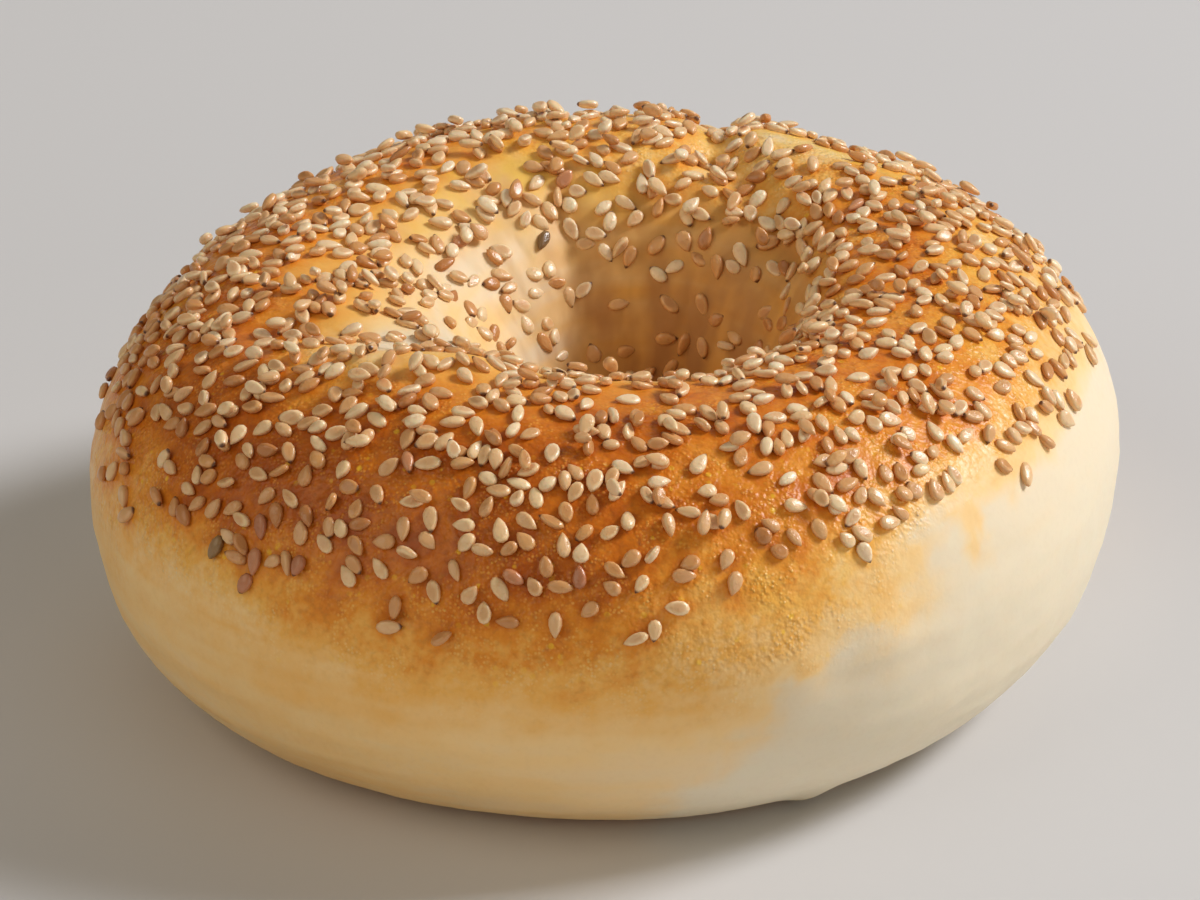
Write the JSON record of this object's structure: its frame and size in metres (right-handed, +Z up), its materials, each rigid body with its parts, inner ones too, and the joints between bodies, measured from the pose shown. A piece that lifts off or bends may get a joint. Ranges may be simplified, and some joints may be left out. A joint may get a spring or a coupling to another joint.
{
  "type": "sesame bagel",
  "caption": "Plump round bread ring with a hole through its middle and sesame seeds baked onto its golden top.",
  "frame": {"origin": "centre of the bounding box on the flat foot that the bagel rests on", "axes": "+Z up through the hole, -Y towards the side that the picture is taken from, +X to the picture's right"},
  "size_m": [0.1182, 0.1178, 0.0483],
  "materials": {
    "crust": "baked crust, golden brown with a soft gloss on top and pale cream below",
    "sesame": "hulled sesame seed, cream to light tan with a soft gloss"
  },
  "bodies": {
    "root": {"bagel": "crust"}
  },
  "joints": []
}
